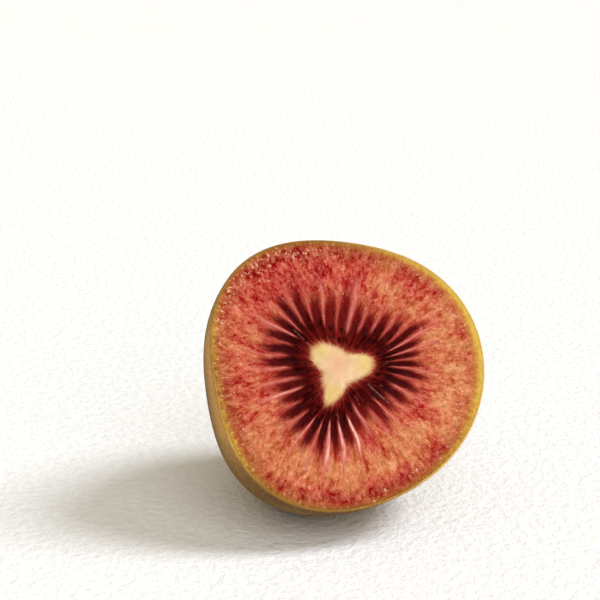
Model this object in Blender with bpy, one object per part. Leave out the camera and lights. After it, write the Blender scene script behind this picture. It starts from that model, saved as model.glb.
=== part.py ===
"""Half of a red fleshed kiwi fruit, cut across the middle and lying on its skin.

The fruit half is one solid with its skin, and the pale core that runs through it is
another. Both are worked out in the fruit's own frame: the cut face is the XY plane
with +Z out of it, and the core lies on the Z axis. An empty leans the face back and
stands the half on a small flat spot, whose middle is the world's origin.
"""
import math

import bmesh
import bpy
from mathutils import Matrix, Vector

# Sizes in metres and directions in degrees, anticlockwise from +X on the cut face
CUT_RADIUS = 0.02483
HALF_LENGTH = 0.034
BARREL_POWER = 2.25
RIM_ROUNDING = 0.0005
LEAN_BACK = 32
FLAT_SPOT_DEPTH = 0.0008

# Each wave is how many times it goes round, its height and the direction of its crest
CUT_WAVES = ((1, 0.00139, -1.3), (2, 0.00034, 9), (3, 0.00112, 5.1), (4, 0.00034, 41))

CORE_RADIUS = 0.0046
CORE_WAVES = ((1, 0.00019, 67), (2, 0.00014, 7), (3, 0.00149, 6), (4, 0.00019, -17),
              (5, 0.00016, 14), (6, 0.00026, 9))
CORE_LOBES = 3
CORE_LOBE_DIRECTION = 6
CORE_DEPTH = 0.028
CORE_CROWN = 0.0003
CORE_GAP = 0.0003

RAYS = 33
POINTS_PER_RAY = 3
SEPTUM_START = -11.2
SEPTUM_SWINGS = ((1, 5.74, -74.2), (2, 3.26, -24.8), (3, 1.09, -4.7))
SEPTUM_LEAN = 10
RAY_REACH = 0.0136
REACH_WAVES = ((1, 0.00086, 61), (2, 0.00039, 25), (3, 0.00219, 4.1))
SEPTUM_RISE = 0.0003
LOCULE_SINK = 0.0004
RAY_STEPS = (0.06, 0.3, 0.6, 0.88, 1.1)
RIM_STEPS = (0.7, 0.35)

DOME_RINGS = 20
CROWN_RADIUS = 0.0046
CROWN_WIDTH = 0.0017
CROWN_HEIGHT = 0.0009
CROWN_DIMPLE = 0.0010

SPOKES = RAYS * POINTS_PER_RAY
CORE_RINGS = 7
FLESH, SKIN = 0, 1


def waves(direction, terms):
    """Sum of the waves: each is its height times the cosine of its turns from its crest."""
    return sum(height * math.cos(turns * (direction - math.radians(crest)))
               for turns, height, crest in terms)


def spoke_direction(spoke, step=1):
    """Direction of a spoke, from step 0 at the core to 1 where the ray ends.

    Septa lie on every third spoke and crowd together on one side. Near the core each
    leans towards the nearest lobe, so that it leaves the core's edge square.
    """
    even = 2 * math.pi * spoke / SPOKES
    swing = sum(math.radians(size) * math.cos(turns * (even - math.radians(crest)))
                for turns, size, crest in SEPTUM_SWINGS)
    direction = even + math.radians(SEPTUM_START) + swing
    past_lobe = math.sin(CORE_LOBES * (direction - math.radians(CORE_LOBE_DIRECTION)))
    return direction - math.radians(SEPTUM_LEAN) * past_lobe * (1 - min(step, 1))


def cut_radius(direction):
    """Radius of the fruit at the cut, in a direction from the core."""
    return CUT_RADIUS + waves(direction, CUT_WAVES)


def core_radius(direction):
    """Radius of the three lobed core at the cut."""
    return CORE_RADIUS + waves(direction, CORE_WAVES)


def ray_reach(direction):
    """How far the dark seed chambers reach from the axis."""
    return RAY_REACH + waves(direction, REACH_WAVES)


def polar(radius, direction, height):
    """Point at a radius and direction from the Z axis."""
    return Vector((radius * math.cos(direction), radius * math.sin(direction), height))


def spoke_sphere(mesh, rings):
    """Unit sphere with a meridian for each spoke and some rings from equator to pole.

    Returns the layer that holds each point's spoke number.
    """
    number = mesh.verts.layers.int.new("spoke")
    bmesh.ops.create_uvsphere(mesh, u_segments=SPOKES, v_segments=2 * rings, radius=1)
    for vert in mesh.verts:
        turn = math.atan2(vert.co.y, vert.co.x) / (2 * math.pi)
        vert[number] = round(turn * SPOKES) % SPOKES
    return number


def barrel_point(direction, latitude):
    """Skin of the half: a rounded barrel whose section shrinks evenly to its end."""
    power = 2 / BARREL_POWER
    across = math.cos(latitude) ** power
    along = math.sin(latitude) ** power
    radius = cut_radius(direction) * across
    ring = CROWN_HEIGHT * math.exp(-((radius - CROWN_RADIUS) / CROWN_WIDTH) ** 2)
    dimple = CROWN_DIMPLE * math.exp(-(radius / CROWN_WIDTH) ** 2)
    depth = RIM_ROUNDING + (HALF_LENGTH - RIM_ROUNDING) * along + ring - dimple
    return polar(radius, direction, -depth)


def face_point(spoke, step):
    """Cut face along the rays, step 0 at the core and 1 where the ray ends.

    A septum stands proud and the chambers beside it sink, both fading to the ray's end.
    """
    direction = spoke_direction(spoke, step)
    inner = core_radius(spoke_direction(spoke, 0)) + CORE_GAP
    radius = inner + (ray_reach(direction) - inner) * step
    relief = SEPTUM_RISE if spoke % POINTS_PER_RAY == 0 else -LOCULE_SINK
    return polar(radius, direction, relief * max(0, 1 - step ** 2))


def outer_point(spoke, step):
    """Cut face from the rim, step 0, to where the ray ends, step 1."""
    direction = spoke_direction(spoke)
    edge = cut_radius(direction) - RIM_ROUNDING
    return polar(edge + (ray_reach(direction) - edge) * step, direction, 0)


def rim_point(spoke):
    """Half way round the soft edge between skin and cut face."""
    direction = spoke_direction(spoke)
    inset = RIM_ROUNDING * (1 - math.sqrt(0.5))
    return polar(cut_radius(direction) - inset, direction, -inset)


def pocket_point(spoke, latitude):
    """Wall of the hollow that the core fills: half a long ellipse, wider by the gap."""
    direction = spoke_direction(spoke, 0)
    radius = core_radius(direction) * math.cos(latitude) + CORE_GAP
    return polar(radius, direction, -CORE_DEPTH * math.sin(latitude))


def inward_ring(mesh, edges, number, place):
    """Extrude an open loop of edges and set its new points by their spokes."""
    new = bmesh.ops.extrude_edge_only(mesh, edges=edges)["geom"]
    for vert in (item for item in new if isinstance(item, bmesh.types.BMVert)):
        vert.co = place(vert[number])
    return [item for item in new if isinstance(item, bmesh.types.BMEdge) and item.is_boundary]


def cut_flat_spot(mesh, down):
    """Slice off the lowest bit of skin, cap it, and return the middle of the flat."""
    lowest = max(vert.co.dot(down) for vert in mesh.verts)
    parts = mesh.verts[:] + mesh.edges[:] + mesh.faces[:]
    sliced = bmesh.ops.bisect_plane(mesh, geom=parts, dist=1e-7, clear_outer=True, plane_no=down,
                                    plane_co=down * (lowest - FLAT_SPOT_DEPTH))["geom_cut"]
    loop = [item for item in sliced if isinstance(item, bmesh.types.BMEdge)]
    flat = bmesh.ops.holes_fill(mesh, edges=loop, sides=0)["faces"][0]
    flat.material_index = SKIN
    return flat.calc_center_median_weighted()


def build_fruit(down):
    """Fruit half with its skin: barrel, rayed cut face, pocket for the core, flat spot."""
    mesh = bmesh.new()
    number = spoke_sphere(mesh, DOME_RINGS)
    front = [vert for vert in mesh.verts if vert.co.z > 1e-4]
    bmesh.ops.delete(mesh, geom=front, context="VERTS")
    for vert in mesh.verts:
        latitude = math.asin(max(0.0, min(1.0, -vert.co.z)))
        vert.co = barrel_point(spoke_direction(vert[number]), latitude)
    edges = [edge for edge in mesh.edges if edge.is_boundary]
    edges = inward_ring(mesh, edges, number, rim_point)
    skin = set(mesh.faces)
    for step in (0,) + tuple(1 - share for share in RIM_STEPS):
        edges = inward_ring(mesh, edges, number, lambda spoke: outer_point(spoke, step))
    for step in reversed(RAY_STEPS):
        edges = inward_ring(mesh, edges, number, lambda spoke: face_point(spoke, step))
    for ring in range(CORE_RINGS):
        latitude = math.pi / 2 * ring / CORE_RINGS
        edges = inward_ring(mesh, edges, number, lambda spoke: pocket_point(spoke, latitude))
    pocket_end = Vector((0, 0, -CORE_DEPTH - CORE_GAP))
    inward_ring(mesh, edges, number, lambda spoke: pocket_end)
    for face in mesh.faces:
        face.material_index = SKIN if face in skin else FLESH
    bmesh.ops.remove_doubles(mesh, verts=mesh.verts, dist=1e-6)
    middle = cut_flat_spot(mesh, down)
    bmesh.ops.recalc_face_normals(mesh, faces=mesh.faces)
    return mesh, middle


def build_core():
    """Pale core: a long three lobed spindle, a little crowned where the knife met it."""
    mesh = bmesh.new()
    number = spoke_sphere(mesh, CORE_RINGS)
    for vert in mesh.verts:
        direction = spoke_direction(vert[number], 0)
        across = math.hypot(vert.co.x, vert.co.y)
        if vert.co.z > 1e-4:
            height = CORE_CROWN * (1 - across ** 2)
        else:
            height = CORE_DEPTH * vert.co.z
        vert.co = polar(core_radius(direction) * across, direction, height)
    bmesh.ops.recalc_face_normals(mesh, faces=mesh.faces)
    return mesh


def make_material(name, colour, roughness):
    """Principled material of one colour."""
    material = bpy.data.materials.new(name)
    material.use_nodes = True
    shader = material.node_tree.nodes["Principled BSDF"]
    shader.inputs["Base Color"].default_value = (*colour, 1)
    shader.inputs["Roughness"].default_value = roughness
    shader.inputs["Metallic"].default_value = 0
    return material


def make_object(name, mesh, materials, frame, collection):
    """Put a finished mesh into the collection as a smooth shaded object."""
    data = bpy.data.meshes.new(name)
    mesh.to_mesh(data)
    mesh.free()
    data.shade_smooth()
    data.set_sharp_from_angle(angle=math.radians(35))
    for material in materials:
        data.materials.append(material)
    piece = bpy.data.objects.new(name, data)
    piece.parent = frame
    collection.objects.link(piece)
    return piece


def main():
    for leftover in list(bpy.data.objects):
        bpy.data.objects.remove(leftover, do_unlink=True)
    collection = bpy.data.collections.new("kiwi_fruit_half")
    bpy.context.scene.collection.children.link(collection)

    turn = Matrix.Rotation(math.radians(90 - LEAN_BACK), 4, "X")
    down = turn.inverted().to_3x3() @ Vector((0, 0, -1))
    fruit_mesh, middle = build_fruit(down)

    frame = bpy.data.objects.new("fruit_frame", None)
    frame.matrix_world = Matrix.Translation(-(turn @ middle)) @ turn
    collection.objects.link(frame)

    flesh = make_material("red_flesh", (0.60, 0.12, 0.07), 0.35)
    skin = make_material("brown_skin", (0.24, 0.17, 0.06), 0.8)
    pith = make_material("pale_core", (0.85, 0.70, 0.42), 0.5)
    make_object("fruit", fruit_mesh, (flesh, skin), frame, collection)
    make_object("core", build_core(), (pith,), frame, collection)


main()
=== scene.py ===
"""Looks of a red fleshed kiwi fruit half, lying on its skin with its cut face leaning back.

Shapes are worked out in the fruit's own frame, in metres: the cut face is the XY plane
with +Z out of it, and the core lies on the Z axis. Directions run anticlockwise on the
face. place() leans the face back and puts the fruit where the CAD has it.
"""

import bpy
import numpy as np
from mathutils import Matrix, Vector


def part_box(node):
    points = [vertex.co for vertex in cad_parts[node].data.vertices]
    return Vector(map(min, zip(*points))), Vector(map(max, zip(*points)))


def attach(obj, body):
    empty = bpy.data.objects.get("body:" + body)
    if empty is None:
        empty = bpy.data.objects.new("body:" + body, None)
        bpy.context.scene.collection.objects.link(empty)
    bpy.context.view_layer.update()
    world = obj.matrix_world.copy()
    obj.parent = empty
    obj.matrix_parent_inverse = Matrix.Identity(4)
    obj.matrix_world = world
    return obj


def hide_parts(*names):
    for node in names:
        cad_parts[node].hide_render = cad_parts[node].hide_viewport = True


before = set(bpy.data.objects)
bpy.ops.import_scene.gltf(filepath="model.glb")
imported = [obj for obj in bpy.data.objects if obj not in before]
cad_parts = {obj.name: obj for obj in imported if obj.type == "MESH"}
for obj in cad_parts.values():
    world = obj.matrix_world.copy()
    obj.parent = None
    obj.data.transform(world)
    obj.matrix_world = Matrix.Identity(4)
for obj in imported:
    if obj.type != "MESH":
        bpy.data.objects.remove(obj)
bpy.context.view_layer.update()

MM = 0.001

# The fruit, in the same sizes as its solids. Each wave is how many times it goes round,
# its height, and the direction of its crest in degrees
CUT_RADIUS = 0.02483
CUT_WAVES = ((1, 0.00139, -1.3), (2, 0.00034, 9), (3, 0.00112, 5.1), (4, 0.00034, 41))
HALF_LENGTH = 0.034
BARREL_POWER = 2.25
RIM_ROUNDING = 0.0005
LEAN_BACK = np.radians(32)
SKIN_THICKNESS = 0.0004
SKIN_LIP = 0.0002
SEAM_OVERLAP = 0.00002

CORE_RADIUS = 0.0046
CORE_WAVES = ((1, 0.00019, 67), (2, 0.00014, 7), (3, 0.00149, 6), (4, 0.00019, -17),
              (5, 0.00016, 14), (6, 0.00026, 9))
CORE_LOBES = 3
CORE_LOBE_DIRECTION = 6
CORE_DEPTH = 0.028
CORE_CROWN = 0.0003

RAYS = 33
SEPTUM_START = -11.2
SEPTUM_SWINGS = ((1, 5.74, -74.2), (2, 3.26, -24.8), (3, 1.09, -4.7))
SEPTUM_LEAN = 10
RAY_REACH = 0.0136
REACH_WAVES = ((1, 0.00086, 61), (2, 0.00039, 25), (3, 0.00219, 4.1))
# How far each dark chamber shows from the axis, in mm, anticlockwise from the right
CHAMBER_ENDS = (15.5, 15.4, 16.4, 18.1, 15.4, 14.2, 12.6, 12.6, 14.6, 13.4, 14.2,
                16.3, 16.6, 14.8, 14.6, 14.0, 13.8, 11.6, 12.2, 11.8, 13.8, 14.2,
                15.3, 15.6, 14.4, 13.6, 11.6, 10.4, 12.6, 12.0, 13.6, 14.8, 15.8)
SEPTUM_RISE = 0.0003
CHAMBER_SINK = 0.0004

CROWN_RADIUS = 0.0046
CROWN_WIDTH = 0.0017
CROWN_HEIGHT = 0.0009
CROWN_DIMPLE = 0.0010

# How finely the surfaces are worked out: points round them, and rows of points
COLUMNS_PER_RAY = 20
SKIN_COLUMNS = 396
CORE_COLUMNS = 330
BACK_ROWS = 15
FACE_ROWS = 50
RAY_ROWS = 62
HOLLOW_ROWS = 10
CORE_FACE_ROWS = 46
CORE_TAIL_ROWS = 24
SKIN_ROWS = 150
LIP_ROWS = 8
WALL_ROWS = 12

# The photograph's frame and camera
FRAME_PIXELS = 600
LENS_MM = 90
SENSOR_MM = 36
SEEN_PIXEL = (345, 378)
SEEN_POINT = (0.00091, -0.00157)
CAMERA_AZIMUTH = np.radians(-18)
CAMERA_ELEVATION = np.radians(20)
CAMERA_DISTANCE = 0.2622

RIGHT = np.array([1.0, 0.0, 0.0])
UP = np.array([0.0, np.sin(LEAN_BACK), np.cos(LEAN_BACK)])
OUT = np.array([0.0, -np.cos(LEAN_BACK), np.sin(LEAN_BACK)])


# Shapes shared by all pieces


def smooth_step(low, high, value):
    """0 below low, 1 above high and the cubic 3s^2 - 2s^3 between."""
    share = np.clip((value - low) / (high - low), 0, 1)
    return share * share * (3 - 2 * share)


def bell(value, width):
    """exp(-(value / width)^2), a soft bump one width to each side of zero."""
    return np.exp(-(value / width) ** 2)


def waves(direction, terms):
    """Sum of height * cos(turns * (direction - crest)) over the terms."""
    return sum(height * np.cos(turns * (direction - np.radians(crest)))
               for turns, height, crest in terms)


def cut_radius(direction):
    """Radius of the fruit at the cut: the mean plus its waves."""
    return CUT_RADIUS + waves(direction, CUT_WAVES)


def core_radius(direction):
    """Radius of the three lobed core at the cut: the mean plus its waves."""
    return CORE_RADIUS + waves(direction, CORE_WAVES)


def ray_reach(direction):
    """How far the dark seed chambers reach from the axis: the mean plus its waves."""
    return RAY_REACH + waves(direction, REACH_WAVES)


def ray_direction(count, step):
    """Direction of the septum with that count, from step 0 at the core to 1 at its end.

    An even share of the turn, plus swings that crowd the septa on one side, minus a
    lean of sin(3 * (direction - lobe)) that fades as the step goes to 1.
    """
    even = 2 * np.pi * count / RAYS
    swing = sum(np.radians(size) * np.cos(turns * (even - np.radians(crest)))
                for turns, size, crest in SEPTUM_SWINGS)
    direction = even + np.radians(SEPTUM_START) + swing
    past_lobe = np.sin(CORE_LOBES * (direction - np.radians(CORE_LOBE_DIRECTION)))
    return direction - np.radians(SEPTUM_LEAN) * past_lobe * (1 - np.clip(step, 0, 1))


def barrel(edge, latitude, length):
    """Radius edge * cos(latitude)^(2/p) and depth behind the cut length * sin(latitude)^(2/p).

    p is BARREL_POWER, and the depth starts at the rim's rounding.
    """
    power = 2 / BARREL_POWER
    return edge * np.cos(latitude) ** power, RIM_ROUNDING + length * np.sin(latitude) ** power


def polar(radius, direction, height):
    """Points at a radius and direction from the Z axis, at a height along it."""
    radius, direction, height = np.broadcast_arrays(radius, direction, height)
    return np.stack([radius * np.cos(direction), radius * np.sin(direction), height], -1)


def lean(points):
    """Fruit's frame to the world's directions: x RIGHT + y UP + z OUT."""
    return points @ np.stack([RIGHT, UP, OUT])


def foot_of_axis():
    """Where the core's axis meets the cut face in the world, from the CAD fruit's box.

    The soft edge of the rim has the box's lowest y and highest z, and the widest ring
    just behind it the highest x, so each less its own offset gives the foot.
    """
    turn = np.linspace(0, 2 * np.pi, 721)
    inset = RIM_ROUNDING * (1 - np.sqrt(0.5))
    edge = lean(polar(cut_radius(turn) - inset, turn, -inset))
    side = lean(polar(cut_radius(turn), turn, -RIM_ROUNDING))
    low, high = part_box("fruit")
    return np.array([high[0] - side[:, 0].max(), low[1] - edge[:, 1].min(),
                     high[2] - edge[:, 2].max()])


FOOT = foot_of_axis()


def place(points, floor=0.0):
    """Fruit's frame to the world, pressed flat where it would go under the floor."""
    placed = lean(points) + FOOT
    placed[..., 2] = np.maximum(placed[..., 2], floor)
    return placed


def angle_between(direction, crest):
    """Signed angle from a crest in degrees to a direction, within half a turn, in degrees."""
    return (np.degrees(direction) - crest + 180) % 360 - 180


def spots(direction, table):
    """Sum of amount * bell(angle from the crest, width) over a table of crest, width, amount."""
    return sum(amount * bell(angle_between(direction, crest), width)
               for crest, width, amount in table)


def lobe_share(direction, width):
    """bell(3 * angle from the nearest core lobe, width): 1 along each lobe."""
    return bell(angle_between(CORE_LOBES * (direction - np.radians(CORE_LOBE_DIRECTION)), 0), width)


def new_object(name, data):
    """Object for a mesh, light or camera, linked into the scene."""
    made = bpy.data.objects.new(name, data)
    bpy.context.scene.collection.objects.link(made)
    return made


def closed_bodies(name, rows, ends, attributes=None):
    """Mesh object of closed bodies, each from rows of points that run round an axis.

    Points are bodies x rows x columns x 3, in the world, and ends bodies x 2 x 3. In each
    body neighbouring rows are joined by quads, the last column to the first, and each end
    point to the row beside it by a fan of triangles.
    """
    bodies, count, columns = rows.shape[:3]
    points = np.concatenate([rows.reshape(bodies, -1, 3), ends], 1)
    here = np.arange(columns)
    there = (here + 1) % columns
    base = (np.arange(count - 1) * columns)[:, None]
    quads = np.stack([base + here, base + there, base + columns + there,
                      base + columns + here], -1).reshape(-1, 4)
    last = (count - 1) * columns
    fans = np.concatenate([
        np.stack([np.full(columns, count * columns), there, here], -1),
        np.stack([np.full(columns, count * columns + 1), last + here, last + there], -1)])
    start = (np.arange(bodies) * points.shape[1])[:, None, None]
    faces = (quads + start).reshape(-1, 4).tolist() + (fans + start).reshape(-1, 3).tolist()
    mesh = bpy.data.meshes.new(name)
    mesh.from_pydata(points.reshape(-1, 3).tolist(), [], faces)
    mesh.shade_smooth()
    for key, values in (attributes or {}).items():
        put_attribute(mesh, key, values)
    return new_object(name, mesh)


def put_attribute(mesh, key, values):
    """Store bodies x rows x columns values or vectors; end points take the mean beside them."""
    vectors = values.shape[-1] == 3 and values.ndim == 4
    if not vectors:
        values = values[..., None]
    bodies, _, columns, parts = values.shape
    ends = np.stack([values[:, 0].mean(1), values[:, -1].mean(1)], 1)
    flat = np.concatenate([values.reshape(bodies, -1, parts), ends], 1)
    kind, field = ("FLOAT_VECTOR", "vector") if vectors else ("FLOAT", "value")
    mesh.attributes.new(key, kind, "POINT").data.foreach_set(field, flat.astype(np.float32).ravel())


def single(fields):
    """Fields of one body, with the leading axis that closed_bodies wants."""
    return {key: values[None] for key, values in fields.items()}


# Finishes


class Finish:
    """A Principled material and short words for the nodes of its pattern."""

    def __init__(self, name):
        self.material = bpy.data.materials.new(name)
        self.material.use_nodes = True
        self.tree = self.material.node_tree
        self.shader = self.tree.nodes["Principled BSDF"]

    def node(self, kind, inputs, output=0, **settings):
        made = self.tree.nodes.new(kind)
        for key, value in settings.items():
            setattr(made, key, value)
        for key, value in inputs.items():
            self.feed(made.inputs[key], value)
        return made.outputs[output]

    def feed(self, socket, value):
        if isinstance(value, bpy.types.NodeSocket):
            self.tree.links.new(value, socket)
        else:
            socket.default_value = value

    def set(self, **values):
        for key, value in values.items():
            self.feed(self.shader.inputs[key.replace("_", " ")], value)

    def amount(self, name):
        return self.node("ShaderNodeAttribute", {}, "Fac", attribute_name=name)

    def vector(self, name):
        return self.node("ShaderNodeAttribute", {}, "Vector", attribute_name=name)

    def object_place(self):
        return self.node("ShaderNodeTexCoord", {}, "Object")

    def noise(self, vector, scale, detail=2.0, roughness=0.5):
        return self.node("ShaderNodeTexNoise", {"Vector": vector, "Scale": scale, "Detail": detail,
                                                "Roughness": roughness})

    def cells(self, vector, scale, output="Distance"):
        return self.node("ShaderNodeTexVoronoi", {"Vector": vector, "Scale": scale}, output)

    def cell_draws(self, vector, scale):
        """One number for each of the cells at that scale, 0 to 1."""
        return self.node("ShaderNodeSeparateColor", {"Color": self.cells(vector, scale, "Color")})

    def ease(self, value, low, high, to_low=0.0, to_high=1.0):
        return self.node("ShaderNodeMapRange", {"Value": value, "From Min": low, "From Max": high,
                                                "To Min": to_low, "To Max": to_high},
                         interpolation_type="SMOOTHSTEP")

    def maths(self, operation, first, second=0.0, third=0.0):
        return self.node("ShaderNodeMath", {0: first, 1: second, 2: third}, operation=operation)

    def times(self, first, second):
        return self.maths("MULTIPLY", first, second)

    def sway(self, value, pattern, amount):
        """value + amount * (pattern - 0.5), so that an even edge or tone wanders."""
        return self.maths("MULTIPLY_ADD", self.maths("SUBTRACT", pattern, 0.5), amount, value)

    def blend(self, factor, first, second, blend_type="MIX"):
        return self.node("ShaderNodeMix", {0: factor, 6: first, 7: second}, 2, data_type="RGBA",
                         blend_type=blend_type)

    def ramp(self, factor, *stops):
        """Colour ramp over stops of position and screen red, green and blue."""
        made = self.tree.nodes.new("ShaderNodeValToRGB")
        self.feed(made.inputs[0], factor)
        elements = made.color_ramp.elements
        while len(elements) < len(stops):
            elements.new(0.5)
        for element, (position, *colour) in zip(elements, stops):
            element.position = position
            element.color = paint(*colour)
        return made.outputs[0]

    def bump(self, height, distance, strength):
        return self.node("ShaderNodeBump", {"Height": height, "Distance": distance,
                                            "Strength": strength})


def paint(red, green, blue):
    """Scene linear colour from screen values of 0 to 255."""
    screen = np.array([red, green, blue]) / 255
    linear = np.where(screen <= 0.04045, screen / 12.92, ((screen + 0.055) / 1.055) ** 2.4)
    return (*linear.tolist(), 1.0)


# Cut flesh

# Patches of the cut face: direction, distance from the core's axis in mm, half width in
# degrees, half depth in mm, and how much redder than the rest (or paler, below zero)
FLESH_PATCHES = (
    (105, 20.0, 38, 4.5, 0.85), (78, 17.0, 16, 2.0, 0.55), (120, 17.5, 18, 2.0, 0.35),
    (38, 22.5, 9, 2.2, 0.48), (24, 18.5, 7, 2.4, 0.20), (190, 16.0, 22, 3.5, 0.35),
    (205, 21.5, 6, 1.5, 0.45), (256, 22.6, 12, 1.2, 0.95), (165, 21.5, 24, 1.6, -0.30),
    (288, 21.5, 11, 1.8, 0.90), (311, 22.5, 9, 1.2, 0.70), (328, 15.6, 9, 2.2, 0.80),
    (285, 13.8, 6, 2.0, 0.80), (5, 21.0, 24, 4.5, -0.45), (345, 22.0, 14, 3.0, -0.45),
    (55, 18.0, 12, 4.0, -0.30), (245, 18.5, 30, 2.6, -0.80), (300, 18.0, 26, 3.0, -0.85),
    (215, 19.0, 14, 3.0, -0.40),
)
# Where pale moist specks, painted glints among them, lie thick: direction, mm in from the
# rim, half width in degrees, half depth in mm, and how thick
SPECK_AND_PAINTED_GLINT_PATCHES = (
    (112, 1.8, 34, 2.6, 1.00),
    (168, 1.3, 32, 1.4, 0.85),
    (262, 1.8, 34, 1.4, 0.38),
    (20, 2.6, 40, 1.6, 0.24),
    (320, 2.6, 22, 1.6, 0.30),
    (215, 1.4, 22, 1.4, 0.22),
)
SPECKS_AND_PAINTED_GLINTS_ELSEWHERE = 0.02

# The yellow green band at the rim: its width in metres, then how bright it is, with waves that are
# partly its own tone and partly painted light and shade round the rim
BAND_WIDTH = 0.00118
BAND_WAVES = ((1, 0.00020, -15), (2, 0.00026, 10), (3, 0.00012, 85))
BAND_GLOW = 0.43
BAND_TONE_AND_PAINTED_LIGHT_WAVES = ((1, 0.31, 20.6), (2, 0.34, 6.8))

# The next tables hold spots round the core: direction, half width in degrees, and amount

# What is added to the band's brightness, partly its own tone and partly painted light and shade
BAND_TONE_AND_PAINTED_LIGHT_SPOTS = ((88, 14, -0.09), (120, 16, 0.15), (152, 13, 0.26), (180, 9, -0.16),
                   (211, 13, 0.24), (325, 13, -0.05), (5, 40, -0.08))
# Painted shade: what is added to the shade painted on the flesh just inside the band, as a share of
# it
PAINTED_RIM_SHADE_SPOTS = ((0, 50, -0.5), (152, 20, -0.5), (95, 38, 0.4))
# Painted highlight: how much paler the septa are painted where they catch the light
SEPTUM_PAINTED_HIGHLIGHT = ((277, 14, 0.45), (250, 24, 0.34), (75, 26, 0.07), (192, 16, 0.18), (134, 10, 0.12))
# Where the chambers are a brighter red
CHAMBER_GLOW = ((80, 30, 1.1), (285, 18, 0.8), (312, 14, 0.5), (190, 14, 0.3))
# How many mm further or, below zero, less far the dark collar round the core reaches
COLLAR_PATCHES = ((75, 26, -2.4), (191, 12, -2.2), (285, 10, -2.4), (312, 8, -1.2),
                  (22, 22, 0.9), (115, 14, 0.8), (155, 9, 0.5), (238, 22, 0.7), (333, 12, 0.4))
# How many mm the red creeps in over the core's edge or, below zero, stands back from it
CREEP_SPOTS = ((226, 7, 0.75), (241, 6, -0.55), (261, 9, 0.55), (4, 9, 0.30), (180, 9, 0.35),
               (125, 8, 0.40), (158, 5, -0.20), (48, 8, -0.10), (33, 7, 0.20), (205, 7, -0.20))

# In mm: how far the collar reaches from the axis, how wide a chamber's wall and a septum
# are at the core, and what each gains by the chamber's end
COLLAR_REACH = 8.8
WALL_AT_CORE = 0.10
WALL_GAIN = 0.24
SEPTUM_AT_CORE = 0.20
SEPTUM_GAIN = 0.20
# A chamber's half width at most, in metres, and the share of it that is gone by its end
CHAMBER_HALF_WIDTH = 0.00074
CHAMBER_TAPER = 0.3
# Where the septa are wider: direction, half width, and by what share
WIDE_SEPTA = (75, 28, 0.4)
# How pale the septa are, and how much they differ from each other in width and paleness
SEPTUM_PALENESS = 0.66
WIDTH_VARIES = 0.22
PALENESS_VARIES = 0.2

# Painted highlights: thin gleams of moisture among the chambers, painted as pale lines: from x, y
# to x, y in mm, and strength
PAINTED_GLEAMS = (
    (-6.9, 8.0, -5.5, 6.3, 0.5),
    (-5.5, 6.3, -4.2, 4.5, 0.8),
    (4.9, -3.0, 8.1, -6.7, 0.7),
    (6.3, -2.8, 7.5, -3.6, 0.3),
    (2.3, -4.8, 2.9, -6.5, 0.35),
    (8.4, 0.2, 9.2, 0.5, 0.5),
    (-2.3, -7.1, -1.3, -8.3, 0.5),
    (-0.1, 5.9, 0.4, 4.8, 0.3),
)
# Half width of a painted gleam, in mm
PAINTED_GLEAM_WIDTH = 0.085

# How uneven the knife left the flesh and the core, and how near the rim the flesh evens
# out, in metres
FACE_ROUGHNESS = 0.00003
CORE_ROUGHNESS = 0.00004
FACE_SMOOTH_EDGE = 0.0005


def flesh_fields(count, radius, direction):
    """What the cut flesh is like at each point, as numbers that its colours are mixed from.

    inside: mm inside a seed chamber, whose half width is half the rays' pitch less its
    wall, at most a set width, and tapers with progress^5. progress: 0 at the core's edge
    and 1 at the chamber's end. septum: a narrow bell across each septum, whose width
    grows with progress. past_collar: mm outside the dark collar round the core.
    """
    draw = np.random.default_rng(33)
    wider = 1 + WIDTH_VARIES * draw.standard_normal(RAYS)
    paler = np.clip(0.62 + PALENESS_VARIES * draw.standard_normal(RAYS), 0.3, 1.0)
    chamber = np.floor(count).astype(int) % RAYS
    nearest = np.round(count).astype(int) % RAYS

    inner = core_radius(direction)
    end = np.array(CHAMBER_ENDS)[chamber] * MM
    progress = (radius - inner) / (end - inner)
    along = np.clip(progress, 0, 1.6)
    pitch = 2 * np.pi * radius / RAYS
    across = np.abs(count - np.round(count)) * pitch
    wall = (WALL_AT_CORE + WALL_GAIN * along ** 1.3) * MM * np.clip(wider[nearest], 0.5, 1.6)
    taper = 1 - CHAMBER_TAPER * along ** 5
    half_width = np.minimum(pitch / 2 - wall, CHAMBER_HALF_WIDTH) * taper
    inside = half_width - (pitch / 2 - across)

    past_collar = radius / MM - COLLAR_REACH - spots(direction, COLLAR_PATCHES)
    width = (SEPTUM_AT_CORE + SEPTUM_GAIN * along) * MM * np.clip(wider[nearest], 0.6, 1.5)
    crest, spread, share = WIDE_SEPTA
    width = width * (1 + share * bell(angle_between(direction, crest), spread))
    shown = smooth_step(-1.8, 1.6, past_collar) * (1 - smooth_step(1.0, 1.75, progress))
    # glow is a painted highlight where the septa catch the light
    glow = spots(direction, SEPTUM_PAINTED_HIGHLIGHT)
    septum = bell(across, width) * shown * (paler[nearest] * SEPTUM_PALENESS + glow)
    return {"inside": inside / MM, "septum": septum, "progress": np.clip(progress, -1, 3),
            "past_collar": past_collar, "chamber_glow": spots(direction, CHAMBER_GLOW)}


def patches(direction, distance, table):
    """Sum of soft patches: each a bell across its direction times one along its distance."""
    return sum(strength * bell(angle_between(direction, crest), width)
               * bell(distance / MM - middle, depth)
               for crest, middle, width, depth, strength in table)


def strokes(points, table):
    """Sum of thin strokes: strength * bell(distance from a straight line's nearest point)."""
    total = 0
    for start_x, start_y, end_x, end_y, strength in table:
        line = np.array([end_x - start_x, end_y - start_y])
        offset = points - np.array([start_x, start_y])
        share = np.clip(offset @ line / (line @ line), 0, 1)[..., None]
        total = total + strength * bell(np.linalg.norm(offset - share * line, axis=-1),
                                        PAINTED_GLEAM_WIDTH)
    return total


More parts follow.
